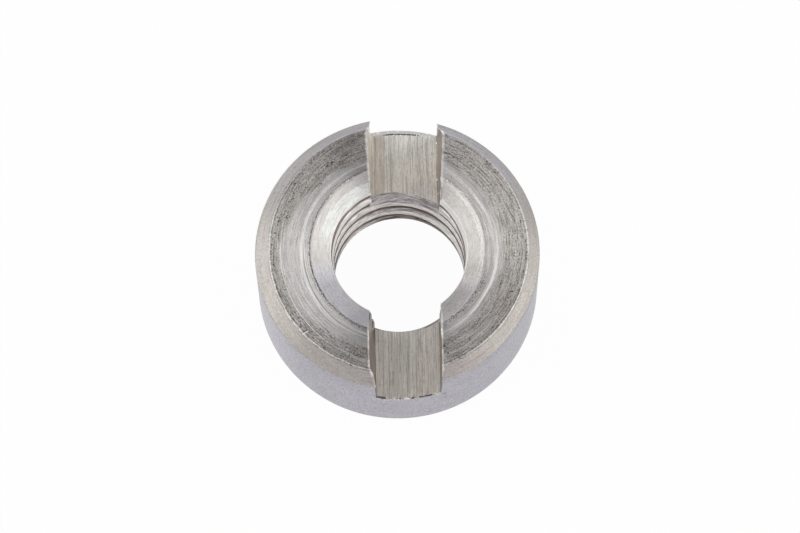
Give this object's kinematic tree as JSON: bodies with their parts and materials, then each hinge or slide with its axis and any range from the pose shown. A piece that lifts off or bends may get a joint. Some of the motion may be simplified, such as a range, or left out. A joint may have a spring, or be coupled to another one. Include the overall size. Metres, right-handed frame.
{
  "type": "slotted round nut",
  "caption": "Round steel nut with a fine inner thread, countersunk on both sides, a chamfered upper rim and a screwdriver slot milled straight across its top face.",
  "frame": {"origin": "centre of the nut's plain underside, on the thread's axis", "axes": "+Z along the thread's axis, from the plain underside to the slotted face; the slot runs along Y and is set off towards +X"},
  "size_m": [0.011, 0.011, 0.0047],
  "materials": {
    "steel": "machined, satin, with fine turning and milling lines"
  },
  "bodies": {
    "root": {"slotted_nut": "steel"}
  },
  "joints": []
}
